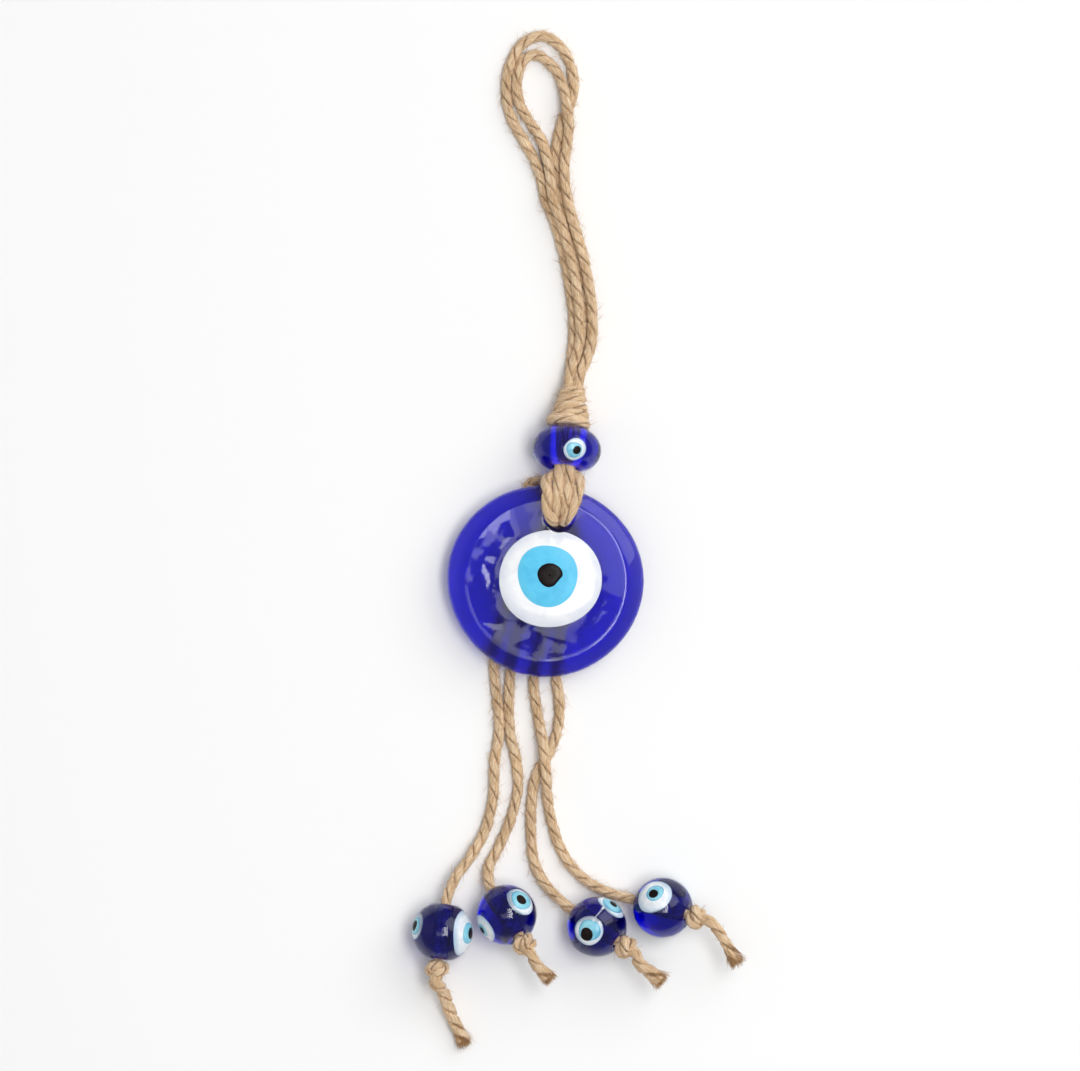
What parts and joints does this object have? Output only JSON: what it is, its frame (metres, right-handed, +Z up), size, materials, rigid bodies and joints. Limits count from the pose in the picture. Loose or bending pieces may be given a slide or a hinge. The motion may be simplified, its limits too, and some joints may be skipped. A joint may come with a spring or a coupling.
{
  "type": "evil eye ornament",
  "caption": "Hanging ornament: a glass disc with an eye on a twine loop, a large-hole bead above it and beads with eyes on knotted twine tails below.",
  "frame": {"origin": "crown of the hanging loop, at the level of the table that the ornament lies on", "axes": "+Z up from the table towards the eye side, +Y along the ornament towards the hanging loop, +X to the right when the eye is seen from above with the loop at the top"},
  "size_m": [0.0679, 0.2083, 0.0138],
  "materials": {
    "jute": "natural hairy two-ply jute twine",
    "cobalt_glass": "deep cobalt glass, fire-polished",
    "white_glass": "opaque white glass, glossy",
    "sky_glass": "opaque sky-blue glass, glossy",
    "black_glass": "opaque black glass, glossy"
  },
  "bodies": {
    "neck": {"wrap_knot": "jute", "hitch": "jute", "neck_strand_1": "jute", "neck_strand_2": "jute", "neck_strand_3": "jute", "neck_strand_4": "jute"},
    "loop": {"loop_strand_outer": "jute", "loop_strand_inner": "jute"},
    "neck_bead": {"neck_bead_body": "cobalt_glass", "neck_bead_whites": "white_glass", "neck_bead_irises": "sky_glass", "neck_bead_pupils": "black_glass"},
    "disc": {"disc_body": "cobalt_glass", "disc_white": "white_glass", "disc_iris": "sky_glass", "disc_pupil": "black_glass"},
    "left_tails": {"tail_strand_1": "jute", "tail_strand_2": "jute", "stopper_knot_1": "jute", "stopper_knot_2": "jute", "frayed_end_1": "jute", "frayed_end_2": "jute"},
    "right_tails": {"tail_strand_3": "jute", "tail_strand_4": "jute", "stopper_knot_3": "jute", "stopper_knot_4": "jute", "frayed_end_3": "jute", "frayed_end_4": "jute"},
    "end_bead_1": {"end_bead_1_body": "cobalt_glass", "end_bead_1_whites": "white_glass", "end_bead_1_irises": "sky_glass", "end_bead_1_pupils": "black_glass"},
    "end_bead_2": {"end_bead_2_body": "cobalt_glass", "end_bead_2_whites": "white_glass", "end_bead_2_irises": "sky_glass", "end_bead_2_pupils": "black_glass"},
    "end_bead_3": {"end_bead_3_body": "cobalt_glass", "end_bead_3_whites": "white_glass", "end_bead_3_irises": "sky_glass", "end_bead_3_pupils": "black_glass"},
    "end_bead_4": {"end_bead_4_body": "cobalt_glass", "end_bead_4_whites": "white_glass", "end_bead_4_irises": "sky_glass", "end_bead_4_pupils": "black_glass"}
  },
  "joints": [
    {"name": "loop_swing", "type": "hinge", "parent": "neck", "child": "loop", "pos_m": [0.00664, -0.07198, 0], "axis": [0, 0, 1], "range_deg": [-30, 30]},
    {"name": "neck_bead_spin", "type": "hinge", "parent": "neck", "child": "neck_bead", "pos_m": [0.0053, -0.0847, 0.0069], "axis": [-0.1005, -0.956, 0.2756], "continuous": true},
    {"name": "disc_swing", "type": "hinge", "parent": "neck", "child": "disc", "pos_m": [0.0037, -0.09839, 0.00586], "axis": [0, -0.0349, 0.9994], "range_deg": [-15, 35]},
    {"name": "left_tails_swing", "type": "hinge", "parent": "neck", "child": "left_tails", "pos_m": [0.0037, -0.097, 0], "axis": [0, 0, 1], "range_deg": [-25, 0]},
    {"name": "right_tails_swing", "type": "hinge", "parent": "neck", "child": "right_tails", "pos_m": [0.0037, -0.097, 0], "axis": [0, 0, 1], "range_deg": [0, 25]},
    {"name": "end_bead_1_spin", "type": "hinge", "parent": "left_tails", "child": "end_bead_1", "pos_m": [-0.0202, -0.1835, 0.0062], "axis": [-0.139, -0.9889, 0.0523], "continuous": true},
    {"name": "end_bead_2_spin", "type": "hinge", "parent": "left_tails", "child": "end_bead_2", "pos_m": [-0.007, -0.18, 0.0062], "axis": [0.4841, -0.7747, 0.4067], "continuous": true},
    {"name": "end_bead_3_spin", "type": "hinge", "parent": "right_tails", "child": "end_bead_3", "pos_m": [0.0114, -0.1825, 0.0062], "axis": [0.779, -0.5255, 0.342], "continuous": true},
    {"name": "end_bead_4_spin", "type": "hinge", "parent": "right_tails", "child": "end_bead_4", "pos_m": [0.0249, -0.1786, 0.0062], "axis": [0.8956, -0.24, 0.3746], "continuous": true}
  ]
}
